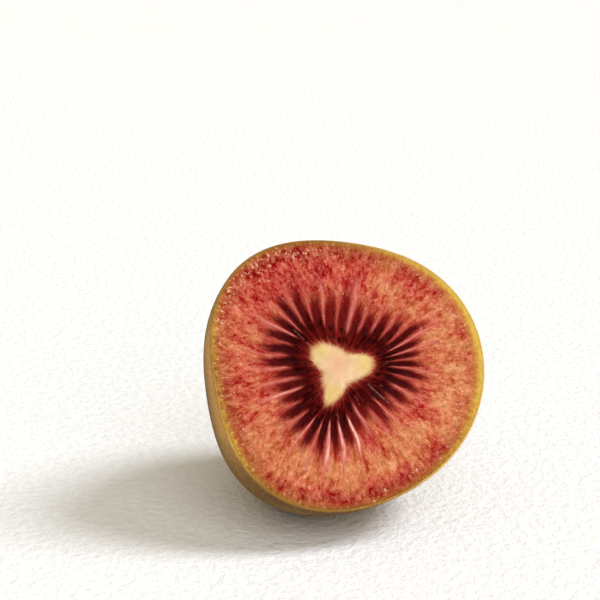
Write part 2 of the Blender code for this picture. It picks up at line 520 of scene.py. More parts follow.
def flesh_relief(count, step):
    """Height of the cut face: septa stand proud and the chambers between sink.

    ((1 + cos(2 pi count)) / 2) cubed, fading with 1 - step^2 to the ray's end and to
    nothing at the core's edge.
    """
    crest = (0.5 + 0.5 * np.cos(2 * np.pi * count)) ** 3
    profile = (SEPTUM_RISE + CHAMBER_SINK) * crest - CHAMBER_SINK
    return profile * np.clip(1 - step ** 2, 0, 1) * smooth_step(0.0, 0.16, step)


def pimples(points, height):
    """Fine unevenness of a knife cut: height times an even mix of slanted plane sine waves."""
    plane_waves = 14
    steepness = 2.6
    draw = np.random.default_rng(12)
    total = 0
    for _ in range(plane_waves):
        slant = draw.normal(0, steepness, 2)
        total = total + np.sin(points[..., 0] * slant[0] + points[..., 1] * slant[1]
                               + draw.uniform(0, 2 * np.pi))
    return height * total / np.sqrt(plane_waves)


def make_flesh():
    """Flesh as one closed body: back under the skin, cut face, and the core's hollow.

    Rows run from the middle of the back out to the rim on a barrel, straight in over the
    cut face to the core's edge with the relief of the rays and the knife's unevenness on
    it, and down the hollow, half a long ellipse, to its end.
    """
    count = np.arange(RAYS * COLUMNS_PER_RAY) / COLUMNS_PER_RAY
    inner_direction = ray_direction(count, 0)
    outer_direction = ray_direction(count, 1)
    edge = cut_radius(outer_direction) - SKIN_THICKNESS + SEAM_OVERLAP
    inner = core_radius(inner_direction) - SEAM_OVERLAP
    reach = ray_reach(outer_direction)

    latitude = np.linspace(np.pi / 2, 0, BACK_ROWS)[1:, None]
    back_radius, back_depth = barrel(edge, latitude, HALF_LENGTH - 3 * SKIN_THICKNESS)
    back = polar(back_radius, outer_direction, -back_depth)

    share = np.linspace(0, 1, FACE_ROWS)[:, None]
    outer = polar(edge + (reach - edge) * share, outer_direction, 0.0)
    step = (1 - np.linspace(0, 1, RAY_ROWS)[1:, None]) ** 1.2
    direction = inner_direction + (outer_direction - inner_direction) * step
    face = polar(inner + (reach - inner) * step, direction, flesh_relief(count, step))
    face = np.concatenate([outer, face])
    from_edge = np.minimum(edge - np.hypot(face[..., 0], face[..., 1]), FACE_SMOOTH_EDGE)
    face[..., 2] += pimples(face / MM, FACE_ROUGHNESS) * (from_edge / FACE_SMOOTH_EDGE)

    down = np.linspace(0, np.pi / 2, HOLLOW_ROWS)[1:-1, None]
    hollow = polar(inner * np.cos(down), inner_direction, -CORE_DEPTH * np.sin(down))

    rows = np.concatenate([back, face, hollow])
    radius = np.hypot(rows[..., 0], rows[..., 1])
    turn = np.arctan2(rows[..., 1], rows[..., 0])
    fields = flesh_fields(np.broadcast_to(count, radius.shape), radius, turn)
    from_rim = cut_radius(turn) - radius
    fields.update(
        from_rim=from_rim / (BAND_WIDTH + waves(turn, BAND_WAVES)),
        from_core=(radius - core_radius(turn)) / MM,
        lobe=lobe_share(turn, 80),
        creep=spots(turn, CREEP_SPOTS),
        redness=patches(turn, radius, FLESH_PATCHES),
        # The band's brightness: partly its own tone, partly painted light and shade by direction
        band_glow=BAND_GLOW + waves(turn, BAND_TONE_AND_PAINTED_LIGHT_WAVES) + spots(turn, BAND_TONE_AND_PAINTED_LIGHT_SPOTS),
        # Where the painted glints lie thick, and the grain is stronger
        specks=SPECKS_AND_PAINTED_GLINTS_ELSEWHERE + patches(turn, from_rim, SPECK_AND_PAINTED_GLINT_PATCHES),
        cut_place=rows / MM,
        # Painted shade on the flesh just inside the band
        rim_shade=bell(from_rim / MM - 1.8, 1.5) * (1 + spots(turn, PAINTED_RIM_SHADE_SPOTS)),
        gleam=strokes(rows[..., :2] / MM, PAINTED_GLEAMS) * (rows[..., 2] > -0.001),
        streak=polar(22.0, turn, 0.42 * radius / MM),
        moist_place=polar(22.0, turn, 0.75 * radius / MM),
        ray_streak=polar(12.0, turn, 0.16 * radius / MM),
    )
    ends = place(np.array([[0, 0, -HALF_LENGTH + SKIN_THICKNESS], [0, 0, -CORE_DEPTH]]),
                 floor=SKIN_THICKNESS)
    return closed_bodies("fruit_flesh", place(rows, floor=SKIN_THICKNESS)[None], ends[None],
                         single(fields))


def flesh_ground(finish):
    """Mottled coral, warm where it is paler and rosy where redder, with granules and flecks.

    Gives the colour, and the fine grain in it, which is below zero where it is darker.
    """
    place_mm = finish.vector("cut_place")
    moist = finish.vector("moist_place")
    redness = finish.amount("redness")
    broad = finish.noise(place_mm, 0.30)
    lumps = finish.noise(finish.vector("streak"), 0.62)
    tone = finish.maths("MULTIPLY_ADD", broad, 0.75, finish.times(lumps, 0.75))
    tone = finish.maths("MULTIPLY_ADD", redness, -0.12, tone)
    tone = finish.ease(tone, 0.29, 1.21)
    warm = finish.ramp(tone, (0.0, 156, 62, 40), (0.3, 183, 90, 56),
                       (0.6, 200, 117, 74), (1.0, 214, 147, 100))
    rosy = finish.ramp(tone, (0.0, 148, 36, 30), (0.3, 178, 62, 48),
                       (0.6, 199, 92, 70), (1.0, 215, 126, 100))
    red = finish.sway(redness, finish.noise(place_mm, 0.36, 1.0), 1.9)
    red = finish.sway(red, lumps, -1.2)
    flesh = finish.blend(finish.ease(red, -0.75, 0.75), warm, rosy)

    granules = finish.noise(moist, 1.25)
    stipple = finish.maths("MULTIPLY_ADD", finish.cells(moist, 2.3), -0.20,
                           finish.times(finish.cell_draws(moist, 2.3), 0.16))
    fine = finish.maths("MULTIPLY_ADD", finish.noise(place_mm, 3.6, 1.0), 0.35,
                        finish.maths("ADD", granules, stipple))
    # The grain is stronger where the specks lie thick, partly to stand for painted glints there
    fine = finish.times(finish.maths("SUBTRACT", fine, 0.655),
                        finish.ease(finish.amount("specks"), 0.1, 1.0, 1.5, 2.3))
    lighter = finish.maths("MAXIMUM", fine, 0.0)
    darker = finish.maths("MINIMUM", finish.times(fine, -1.15), 1.0)
    flesh = finish.blend(lighter, flesh, (0.42, 0.25, 0.18, 1.0), "ADD")
    flesh = finish.blend(finish.maths("MAXIMUM", darker, 0.0), flesh, (0.32, 0.15, 0.08, 1.0),
                         "SUBTRACT")

    fleck = finish.times(finish.ease(finish.cells(moist, 1.45), 0.30, 0.10),
                         finish.ease(finish.cell_draws(moist, 1.45), 0.35, 0.9))
    flesh = finish.blend(fleck, flesh, (0.22, 0.09, 0.05, 1.0), "SUBTRACT")
    blot = finish.maths("MULTIPLY_ADD", red, 0.03, finish.noise(moist, 1.05, 1.0))
    flesh = finish.blend(finish.ease(blot, 0.62, 0.72, 0.0, 0.6), flesh, paint(156, 38, 26))
    # Painted shade: the flesh just inside the band is darkened
    flesh = finish.blend(finish.amount("rim_shade"), flesh, (0.72, 0.70, 0.58, 1.0), "MULTIPLY")
    return flesh, fine


def with_rays(finish, flesh):
    """Dark chambers with pale septa between them, and the dark collar that joins them.

    Gives the colour, and how much of a chamber or the collar each point is, 0 to 1.
    """
    fibres = finish.noise(finish.vector("ray_streak"), 2.6, 2.0, 0.55)
    progress = finish.amount("progress")
    # The septa's paleness includes a painted highlight where they catch the light
    septum = finish.times(finish.amount("septum"),
                          finish.ease(fibres, 0.25, 0.6, 0.6, 1.1))
    pinks = finish.ramp(septum, (0.0, 140, 44, 44), (0.4, 192, 96, 88),
                        (0.75, 220, 138, 124), (1.0, 236, 184, 170))
    inside = finish.sway(finish.amount("inside"), fibres, 0.8)
    ended = finish.ease(finish.sway(progress, fibres, 0.5), 1.14, 0.82)
    past_collar = finish.sway(finish.amount("past_collar"), fibres, 3.0)
    halo = finish.times(finish.ease(inside, -0.80, 0.0),
                        finish.ease(progress, 1.35, 0.8))
    chambers = finish.times(finish.ease(inside, -0.22, 0.26), ended)
    dark = finish.maths("MAXIMUM", finish.ease(past_collar, 1.6, -0.8), chambers)

    depth = finish.sway(progress, fibres, -0.5)
    chamber = finish.ramp(depth, (0.0, 146, 40, 34), (0.1, 120, 24, 20), (0.36, 62, 1, 2),
                          (0.7, 66, 1, 2), (1.0, 96, 5, 4))
    reddest = finish.ramp(depth, (0.0, 138, 34, 28), (0.1, 118, 22, 17),
                          (0.36, 98, 12, 8), (1.0, 118, 14, 8))
    chamber = finish.blend(finish.amount("chamber_glow"), chamber, reddest)
    veins = finish.noise(finish.vector("streak"), 1.5, 2.0, 0.6)
    chamber = finish.blend(finish.ease(veins, 0.52, 0.74, 0.0, 0.35), chamber, paint(122, 24, 20))
    chamber = finish.blend(finish.ease(veins, 0.48, 0.30, 0.0, 0.5), chamber, paint(38, 1, 1))
    blotch = finish.noise(finish.vector("cut_place"), 0.62, 1.0)
    blotch = finish.times(finish.ease(blotch, 0.50, 0.66),
                          finish.ease(past_collar, 3.2, 0.2, 0.0, 0.65))
    chamber = finish.blend(finish.times(blotch, finish.ease(depth, 0.02, 0.2)),
                           chamber, paint(22, 1, 3))

    flesh = finish.blend(finish.ease(progress, 1.02, 0.62, 0.0, 0.75), flesh, paint(176, 76, 68))
    flesh = finish.blend(finish.times(halo, 0.75), flesh, paint(144, 32, 28))
    flesh = finish.blend(finish.ease(septum, 0.04, 0.8, 0.0, 0.85), flesh, pinks)
    flesh = finish.blend(dark, flesh, chamber)
    return finish.blend(finish.ease(septum, 0.12, 1.0, 0.0, 0.75), flesh, pinks), dark


def with_core_fringe(finish, flesh):
    """Pale hairs of the core that reach out into the dark collar, most at its lobes."""
    teeth = finish.noise(finish.vector("ray_streak"), 1.5, 2.0, 0.6)
    fringe = finish.sway(finish.maths("SUBTRACT", 0.22, finish.amount("from_core")), teeth, 2.0)
    fringe = finish.maths("MULTIPLY_ADD", finish.amount("lobe"), 0.12, fringe)
    fringe = finish.maths("MULTIPLY_ADD", finish.amount("creep"), -1.2, fringe)
    flesh = finish.blend(finish.ease(fringe, -1.5, 0.3, 0.0, 0.6), flesh, paint(146, 54, 40))
    return finish.blend(finish.ease(fringe, -0.35, 0.75, 0.0, 0.95), flesh, paint(214, 162, 112))


def with_band(finish, flesh, fine):
    """Ragged yellow green band at the rim, duller on its inner side, brighter or darker round the
    rim partly from painted light and shade.
    """
    # glow carries the band's own tone together with painted light and shade
    glow = finish.amount("band_glow")
    rough = finish.ease(glow, 0.2, 0.9, 1.0, 0.6)
    ragged = finish.noise(finish.vector("moist_place"), 1.1, 3.0, 0.7)
    edge = finish.maths("MULTIPLY_ADD", finish.maths("SUBTRACT", ragged, 0.5),
                        finish.times(rough, 1.5), finish.amount("from_rim"))
    tint = finish.maths("MULTIPLY_ADD", fine, finish.times(rough, 0.7), glow)
    bright = finish.ramp(tint, (0.0, 136, 84, 34), (0.35, 162, 110, 47),
                         (0.7, 192, 150, 59), (1.0, 212, 175, 74))
    inner = finish.ramp(tint, (0.0, 148, 74, 32), (0.5, 170, 94, 42),
                        (1.0, 198, 136, 60))
    flesh = finish.blend(finish.ease(edge, 1.75, 0.95, 0.0, 0.7), flesh, inner)
    return finish.blend(finish.ease(edge, 1.15, 0.45), flesh, bright)


def flesh_finish():
    """Moist coral flesh: mottled and flecked, streaked by the septa, dark in the chambers."""
    finish = Finish("moist_coral_flesh")
    place_mm = finish.vector("cut_place")
    flesh, fine = flesh_ground(finish)
    flesh, dark = with_rays(finish, flesh)
    flesh = with_core_fringe(finish, flesh)
    flesh = with_band(finish, flesh, fine)

    # Painted glints: pale moist dots where the specks lie thick, kept out of the dark chambers
    glint = finish.maths("MULTIPLY_ADD", finish.amount("specks"), 0.13,
                         finish.noise(finish.vector("moist_place"), 2.4, 0.0))
    painted_glint_dots = finish.times(finish.ease(glint, 0.72, 0.95), finish.ease(dark, 0.5, 0.0))
    flesh = finish.blend(finish.times(painted_glint_dots, 0.8), flesh, paint(232, 180, 150))
    # Painted highlight: pale gleams of moisture along the chambers
    gleam = finish.times(finish.amount("gleam"),
                         finish.ease(finish.noise(place_mm, 2.0, 1.0), 0.38, 0.58, 0.25, 1.0))
    flesh = finish.blend(finish.times(gleam, 0.75), flesh, paint(214, 158, 154))

    grain = finish.noise(place_mm, 3.6, 1.0)
    height = finish.maths("MULTIPLY_ADD", painted_glint_dots, 0.3, finish.maths("ADD", fine, grain))
    finish.set(Base_Color=flesh, Normal=finish.bump(height, 0.0002, 0.5),
               Roughness=finish.ease(grain, 0.3, 0.7, 0.24, 0.42),
               Subsurface_Weight=0.12, Subsurface_Radius=(1.0, 0.35, 0.2), Subsurface_Scale=0.001,
               Specular_IOR_Level=0.03)
    return finish.material


# Seeds

SEEDS_PER_CHAMBER = 2
SHARE_OF_SEEDS_SHOWN = 0.5
FIRST_SEED = 0.20
SEED_PITCH = 0.17
SEED_LENGTH = 0.0007
SEED_WIDTH = 0.00038
SEED_HEIGHT = 0.00032
SEED_TAPER = 0.25
SEED_SINK = (0.00012, 0.00026)


def make_seeds():
    """Small dark seeds part sunk in the chambers near the core.

    Each is an egg: radius sin(latitude) round it and cos(latitude) along it, pointed
    towards the core by a factor 1 - taper * cos(latitude).
    """
    draw = np.random.default_rng(5)
    places = RAYS * SEEDS_PER_CHAMBER
    keep = draw.random(places) < SHARE_OF_SEEDS_SHOWN
    chamber = np.repeat(np.arange(RAYS), SEEDS_PER_CHAMBER)[keep]
    along_chamber = np.tile(np.arange(SEEDS_PER_CHAMBER), RAYS)[keep]
    count = chamber + 0.5 + draw.normal(0, 0.06, chamber.size)
    step = FIRST_SEED + SEED_PITCH * along_chamber + draw.uniform(-0.05, 0.05, chamber.size)
    direction = ray_direction(count, step)
    inner = core_radius(ray_direction(count, 0))
    radius = inner + (ray_reach(ray_direction(count, 1)) - inner) * step
    sunk = draw.uniform(*SEED_SINK, chamber.size)
    middle = polar(radius, direction, flesh_relief(count, step) - sunk)
    latitude = np.linspace(0, np.pi, 9)[1:-1, None]
    turn = np.arange(12) / 12 * 2 * np.pi
    taper = 1 - SEED_TAPER * np.cos(latitude)
    size = draw.uniform(0.85, 1.15, chamber.size)[:, None, None]
    along = SEED_LENGTH * size * np.cos(latitude) * np.ones_like(turn)
    across = SEED_WIDTH * size * np.sin(latitude) * taper * np.cos(turn)
    height = SEED_HEIGHT * size * np.sin(latitude) * taper * np.sin(turn)
    tilt = (direction + draw.normal(0, 0.15, chamber.size))[:, None, None]
    local = np.stack([-along * np.cos(tilt) - across * np.sin(tilt),
                      -along * np.sin(tilt) + across * np.cos(tilt), height], -1)
    tip = SEED_LENGTH * size[:, 0] * np.concatenate([np.cos(tilt[:, 0]), np.sin(tilt[:, 0]),
                                                     0 * tilt[:, 0]], -1)
    ends = np.stack([-tip, tip], 1) + middle[:, None]
    return closed_bodies("seeds", place(local + middle[:, None, None]), place(ends))


def seed_finish():
    """Glossy seed coat, almost black with a red brown bloom."""
    finish = Finish("glossy_dark_seed")
    grain = finish.noise(finish.object_place(), 2600.0)
    coat = finish.blend(finish.ease(grain, 0.35, 0.7), paint(42, 4, 4), paint(68, 13, 9))
    finish.set(Base_Color=coat, Roughness=finish.ease(grain, 0.3, 0.7, 0.2, 0.35),
               Normal=finish.bump(grain, 0.00004, 0.5), Specular_IOR_Level=0.02)
    return finish.material


# Core

# Where the core blushes pink: x and y from the axis in metres, and how wide in mm
BLUSH = (0.0004, 0.0012)
BLUSH_WIDTH = 1.9
# The knife's unevenness is this much broader on the core than on the flesh
CORE_SMOOTHNESS = 0.45


def make_core():
    """Core as a closed spindle: a little crowned at the cut, half a long ellipse behind.

    The face rises CORE_CROWN * (1 - share^2) from its edge, and the knife's unevenness
    on it fades to the edge the same way.
    """
    direction = ray_direction(np.arange(CORE_COLUMNS) / CORE_COLUMNS * RAYS, 0)
    edge = core_radius(direction) + SEAM_OVERLAP
    share = np.linspace(0, 1, CORE_FACE_ROWS)[1:, None]
    face = polar(edge * share, direction, CORE_CROWN * (1 - share ** 2))
    face[..., 2] += pimples(CORE_SMOOTHNESS * face / MM, CORE_ROUGHNESS) * (1 - share ** 2)
    down = np.linspace(0, np.pi / 2, CORE_TAIL_ROWS)[1:-1, None]
    tail = polar(edge * np.cos(down), direction, -CORE_DEPTH * np.sin(down))
    rows = np.concatenate([face, tail])
    radius = np.hypot(rows[..., 0], rows[..., 1])
    turn = np.arctan2(rows[..., 1], rows[..., 0])
    from_blush = np.hypot(rows[..., 0] - BLUSH[0], rows[..., 1] - BLUSH[1])
    fields = {
        "from_edge": (core_radius(turn) - radius) / MM - spots(turn, CREEP_SPOTS),
        "lobe": lobe_share(turn, 75),
        "out_from_axis": radius / MM,
        "blush": bell(from_blush / MM, BLUSH_WIDTH),
        "cut_place": rows / MM,
        "streak": polar(5.0, turn, 0.3 * radius / MM),
    }
    ends = place(np.array([[0, 0, CORE_CROWN], [0, 0, -CORE_DEPTH]]))
    return closed_bodies("fruit_core", place(rows)[None], ends[None], single(fields))


def core_finish():
    """Pale fibrous core: cream, pinker in the middle, yellower in its lobes, hairy edged."""
    finish = Finish("pale_fibrous_core")
    outwards = finish.amount("out_from_axis")
    soft = finish.noise(finish.vector("cut_place"), 0.7, 2.5, 0.6)
    fibre = finish.noise(finish.vector("streak"), 3.4, 3.0, 0.6)
    core = finish.blend(finish.ease(soft, 0.35, 0.7), paint(216, 178, 126), paint(227, 197, 156))
    lobe = finish.times(finish.amount("lobe"), finish.ease(outwards, 2.2, 4.4))
    core = finish.blend(finish.times(lobe, 0.8), core, paint(213, 182, 107))
    middle = finish.ease(finish.maths("MULTIPLY_ADD", soft, 4.0, outwards), 6.2, 2.2)
    core = finish.blend(finish.times(middle, 0.6), core, paint(223, 183, 145))
    blush = finish.times(finish.amount("blush"), finish.ease(soft, 0.3, 0.6, 0.4, 1.0))
    core = finish.blend(finish.times(blush, 0.62), core, paint(214, 150, 118))
    hair = finish.sway(finish.amount("from_edge"), fibre, -1.8)
    core = finish.blend(finish.ease(hair, 0.80, -0.30), core, paint(184, 112, 74))
    core = finish.blend(finish.ease(hair, -0.20, -0.60), core, paint(112, 26, 20))
    threads = finish.times(finish.ease(fibre, 0.5, 0.75, 0.0, 0.25),
                           finish.ease(outwards, 1.2, 3.2))
    core = finish.blend(threads, core, paint(246, 220, 160))
    hairy = finish.times(fibre, finish.ease(outwards, 0.8, 3.0))
    normal = finish.bump(finish.maths("MULTIPLY_ADD", soft, 0.8, hairy), 0.00012, 0.6)
    finish.set(Base_Color=core, Normal=normal, Roughness=finish.ease(fibre, 0.3, 0.7, 0.42, 0.6),
               Subsurface_Weight=0.25, Subsurface_Radius=(1.0, 0.6, 0.35), Subsurface_Scale=0.0015,
               Specular_IOR_Level=0.15)
    return finish.material


# Skin

# How tan the skin is by the cut, above 0.5, partly its own tone and partly painted light on
# the left and painted shade at the bottom, and how pale its lip, a painted highlight:
# direction, half width in degrees, and amount
TAN_AND_PAINTED_LIGHT_SPOTS = ((180, 30, 0.75), (205, 14, 0.10), (254, 36, -0.62), (40, 50, 0.30))
PAINTED_LIP_HIGHLIGHT_SPOTS = ((10, 50, 1.0), (315, 36, 0.65), (60, 20, 0.3), (206, 18, 0.5), (165, 24, 0.3))

# Wrinkles round the crown: how many of each kind, then height, radius and width in metres
WRINKLES = (9, 13, 17, 22, 29, 37)
WRINKLE_HEIGHT = 0.00035
WRINKLE_RADIUS = 0.0062
WRINKLE_WIDTH = 0.0034

# How far from the axis the skin is dry and papery, in mm
DRY_REACH = 5.4

# Pale specks on the skin: how many cells in a mm, and how strong at most
SKIN_SPECKS = ((1.35, 0.85), (2.1, 0.75), (3.1, 0.60))


def crown_swell(radius):
    """The crown's ring less its dimple, each a bell of the radius."""
    return (CROWN_HEIGHT * bell(radius - CROWN_RADIUS, CROWN_WIDTH)
            - CROWN_DIMPLE * bell(radius, CROWN_WIDTH))


def wrinkles(radius, direction):
    """Wrinkles that run out from the crown: a mean of waves round the axis, fading away."""
    draw = np.random.default_rng(8)
    wrinkle = sum(np.cos(turns * direction + draw.uniform(0, 2 * np.pi)
                         + 0.5 * np.sin(radius / MM + draw.uniform(0, 6)))
                  for turns in WRINKLES) / len(WRINKLES)
    return WRINKLE_HEIGHT * wrinkle * bell(radius - WRINKLE_RADIUS, WRINKLE_WIDTH)


def make_skin():
    """Skin as a thin closed shell with a soft lip at the cut.

    Outside it is the barrel with the crown's ring, dimple and wrinkles at its end; the
    lip is a quarter round; the inside wall is a barrel one skin thickness in.
    """
    direction = np.arange(SKIN_COLUMNS) / SKIN_COLUMNS * 2 * np.pi
    edge = cut_radius(direction)
    latitude = np.linspace(np.pi / 2, 0, SKIN_ROWS)[1:, None]
    radius, depth = barrel(edge, latitude, HALF_LENGTH - RIM_ROUNDING)
    swell = crown_swell(radius) + wrinkles(radius, direction)
    outside = polar(radius, direction, -depth - np.where(depth > HALF_LENGTH / 2, swell, 0))

    round_over = np.linspace(0, np.pi / 2, LIP_ROWS)[:, None]
    lip = polar(edge - SKIN_LIP * (1 - np.cos(round_over)), direction,
                SKIN_LIP * (np.sin(round_over) - 1))
    inner_edge = edge - SKIN_THICKNESS
    flat = polar(inner_edge[None], direction, 0.0)
    wall_latitude = np.linspace(0, np.pi / 2, WALL_ROWS)[:-1, None]
    wall_radius, wall_depth = barrel(inner_edge, wall_latitude, HALF_LENGTH - 3 * SKIN_THICKNESS)
    wall = polar(wall_radius, direction, -wall_depth)
    shown = np.concatenate([outside, lip, flat])
    rows = np.concatenate([shown, wall])
    placed = np.concatenate([place(shown), place(wall, floor=SKIN_THICKNESS)])
    away = np.hypot(rows[..., 0], rows[..., 1])
    turn = np.arctan2(rows[..., 1], rows[..., 0])
    fields = {
        "below_cut": -rows[..., 2] / MM,
        # Painted highlight on the lip
        "painted_lip_highlight": spots(turn, PAINTED_LIP_HIGHLIGHT_SPOTS),
        "crown": bell(away / MM, DRY_REACH) * (rows[..., 2] < -HALF_LENGTH / 2),
        # Painted light and shade in the skin's tan by the cut
        "tan": 0.5 + spots(turn, TAN_AND_PAINTED_LIGHT_SPOTS),
        "cut_place": rows / MM,
        "streak": polar(25.0, turn, -0.35 * rows[..., 2] / MM),
    }
    crown_end = -HALF_LENGTH + CROWN_DIMPLE
    ends = np.array([[0, 0, crown_end], [0, 0, crown_end + SKIN_THICKNESS]])
    return closed_bodies("fruit_skin", placed[None], place(ends)[None], single(fields))


def skin_finish():
    """Matt olive brown skin with pale specks, a short fuzz and a golden lip at the cut, with
    painted light and shade by the cut.
    """
    finish = Finish("matt_speckled_skin")
    place_mm = finish.vector("cut_place")
    below_cut = finish.amount("below_cut")
    grain = finish.noise(place_mm, 1.7, 3.0, 0.7)
    streaks = finish.noise(finish.vector("streak"), 1.0, 3.0, 0.6)
    tone = finish.maths("MULTIPLY_ADD", finish.noise(place_mm, 0.11, 3.0, 0.6), 0.42, 0.025)
    tone = finish.maths("MULTIPLY_ADD", grain, 0.55, tone)
    brown = finish.ramp(tone, (0.30, 82, 50, 20), (0.48, 124, 86, 38),
                        (0.64, 168, 126, 68), (0.80, 214, 168, 112))
    olive = finish.ramp(tone, (0.30, 88, 66, 20), (0.48, 130, 104, 42),
                        (0.64, 168, 138, 72), (0.80, 208, 176, 112))
    green = finish.noise(place_mm, 0.075)
    skin = finish.blend(finish.ease(green, 0.34, 0.66), brown, olive)
    skin = finish.blend(finish.ease(streaks, 0.5, 0.8, 0.0, 0.35), skin, paint(104, 78, 30))
    # Belt by the cut: partly the skin's own tan, partly painted light on the left and painted shade
    # at the bottom
    tan_and_painted_light_belt = finish.ramp(finish.sway(finish.amount("tan"), grain, 0.6),
                       (0.05, 92, 56, 20), (0.45, 144, 101, 44),
                       (0.8, 194, 146, 80), (1.0, 228, 170, 94))
    skin = finish.blend(finish.ease(below_cut, 11.0, 1.0, 0.0, 0.85), skin, tan_and_painted_light_belt)
    pores = finish.noise(place_mm, 3.2)
    skin = finish.blend(finish.ease(pores, 0.52, 0.30, 0.0, 0.45), skin, paint(66, 40, 18))
    specks = 0.0
    for scale, strength in SKIN_SPECKS:
        spot = finish.ease(finish.cells(place_mm, scale), 0.30, 0.12)
        strong = finish.ease(finish.cell_draws(place_mm, scale), 0.1, 0.9, 0.0, strength)
        specks = finish.maths("MAXIMUM", finish.times(spot, strong), specks)
    skin = finish.blend(specks, skin, paint(202, 166, 104))

    papery = finish.blend(finish.ease(grain, 0.35, 0.65), paint(112, 74, 44), paint(190, 150, 108))
    crown = finish.sway(finish.amount("crown"), streaks, 0.9)
    skin = finish.blend(finish.ease(crown, 0.25, 0.75), skin, papery)

    below = finish.sway(below_cut, grain, 0.5)
    # Golden just below the cut: partly the skin's own colour, partly painted light shining through
    # it
    skin = finish.blend(finish.ease(below, 1.1, 0.1, 0.0, 0.4), skin, paint(186, 142, 66))
    # Painted highlight: the lip's own pale tint, made paler where light catches it, most on the
    # right
    patchy = finish.sway(finish.amount("painted_lip_highlight"), finish.noise(place_mm, 0.8, 3.0, 0.65), 1.0)
    lip_tint_and_painted_highlight = finish.ramp(patchy, (0.1, 150, 104, 44), (0.5, 188, 142, 66),
                           (0.9, 218, 176, 98))
    lip = finish.ease(below, 0.36, 0.04)
    skin = finish.blend(finish.times(lip, 0.9), skin, lip_tint_and_painted_highlight)
    raised = finish.maths("MULTIPLY_ADD", specks, 0.8, finish.maths("ADD", grain, pores))
    finish.set(Base_Color=skin, Normal=finish.bump(raised, 0.0002, 0.8),
               Roughness=finish.ease(grain, 0.3, 0.7, 0.66, 0.86),
               Sheen_Weight=0.05, Sheen_Roughness=0.4, Specular_IOR_Level=0.08)
    return finish.material


# Dry crown at the hidden end

SEPALS = 6
SEPAL_START = 0.0057
SEPAL_LENGTH = 0.0045
SEPAL_HALF_WIDTH = 0.0019
SEPAL_THICKNESS = 0.00008
SEPAL_RISE = 0.00055
SEPAL_SINK = 0.00008
SEPAL_CUP = 0.00035
SEPAL_LEAN = 0.002
SEPAL_WAVINESS = 0.12
# Nearest to the axis that a sepal still narrows towards it
SEPAL_PINCH = 0.0015
# Crumples of a sepal: height in metres, waves across and along, and share of its phase
CRUMPLES = ((0.00016, 4, 7, 1), (0.00010, 9, -5, 2))

STYLES = 14
STYLE_RADIUS = 0.00009
STYLE_SPREAD = 0.00035
STYLE_SPLAY = 0.0010
STYLE_LENGTHS = (0.0008, 0.0018)
STYLE_ROOT = 0.0002


def crown_depth(radius):
    """How far behind the cut the crowned end lies, at a radius from the axis."""
    across = (radius / CUT_RADIUS) ** (BARREL_POWER / 2)
    latitude = np.arccos(np.clip(across, 0, 1))
    return barrel(CUT_RADIUS, latitude, HALF_LENGTH - RIM_ROUNDING)[1] + crown_swell(radius)


def make_sepals():
    """Papery sepals folded in over the crown, each a thin crumpled leaf.

    A leaf runs in from the crown's ring: its height over the skin is a half sine wave, its
    half width sqrt(1 - u^2.4), its section a flat ellipse, and sines crumple it.
    """
    draw = np.random.default_rng(21)
    sepal = np.arange(SEPALS)[:, None, None]
    u = np.linspace(0, 1, 20)[1:-1][None, :, None]
    turn = (np.arange(28) / 28 * 2 * np.pi)[None, None]
    v = np.cos(turn)
    phase = draw.uniform(0, 2 * np.pi, SEPALS)[:, None, None]
    longer = draw.uniform(0.8, 1.1, SEPALS)[:, None, None]
    lean_over = draw.normal(0, 0.35, SEPALS)[:, None, None]
    half_width = SEPAL_HALF_WIDTH * np.sqrt(1 - u ** 2.4) * smooth_step(-0.3, 0.25, u) * longer
    radius = SEPAL_START - SEPAL_LENGTH * u * longer
    wavy = 1 + SEPAL_WAVINESS * np.sin(9 * u + phase)
    side = half_width * v * wavy + lean_over * SEPAL_LEAN * u
    crumple = sum(height * np.sin(across * v + along * u + share * phase)
                  for height, across, along, share in CRUMPLES)
    height = (crown_depth(radius) + SEPAL_RISE * np.sin(np.pi * u ** 0.8) * longer - SEPAL_SINK
              + SEPAL_CUP * v ** 2 * u + crumple * smooth_step(0, 0.3, u)
              + SEPAL_THICKNESS * np.sin(turn) * (1 - u ** 6))
    direction = 2 * np.pi * sepal / SEPALS + 0.2 * np.sin(5 * phase)
    rows = polar(radius, direction + side / np.maximum(radius, SEPAL_PINCH), -height)
    ends = np.stack([rows[:, 0].mean(1), rows[:, -1].mean(1)], 1)
    return closed_bodies("crown_sepals", place(rows), place(ends),
                         {"across": np.broadcast_to(v, rows.shape[:3])})


def make_styles():
    """Dried styles in the crown's dimple: thin tubes that splay out as they rise.

    The centre line is base + splay * u^2 outwards and height * u along, and the tube's
    radius shrinks by 1 - 0.5 u.
    """
    draw = np.random.default_rng(4)
    base = draw.normal(0, STYLE_SPREAD, (STYLES, 2))
    splay = draw.normal(0, STYLE_SPLAY, (STYLES, 2))
    tall = draw.uniform(*STYLE_LENGTHS, STYLES)[:, None, None]
    u = np.linspace(0, 1, 9)[None, :, None]
    turn = (np.arange(7) / 7 * 2 * np.pi)[None, None]
    tube = STYLE_RADIUS * (1 - 0.5 * u)
    x = base[:, 0, None, None] + splay[:, 0, None, None] * u ** 2 + tube * np.cos(turn)
    y = base[:, 1, None, None] + splay[:, 1, None, None] * u ** 2 + tube * np.sin(turn)
    z = -(HALF_LENGTH - CROWN_DIMPLE - STYLE_ROOT + tall * u) + 0 * turn
    rows = np.stack(np.broadcast_arrays(x, y, z), -1)
    ends = np.stack([rows[:, 0].mean(1), rows[:, -1].mean(1)], 1)
    return closed_bodies("dried_styles", place(rows), place(ends))


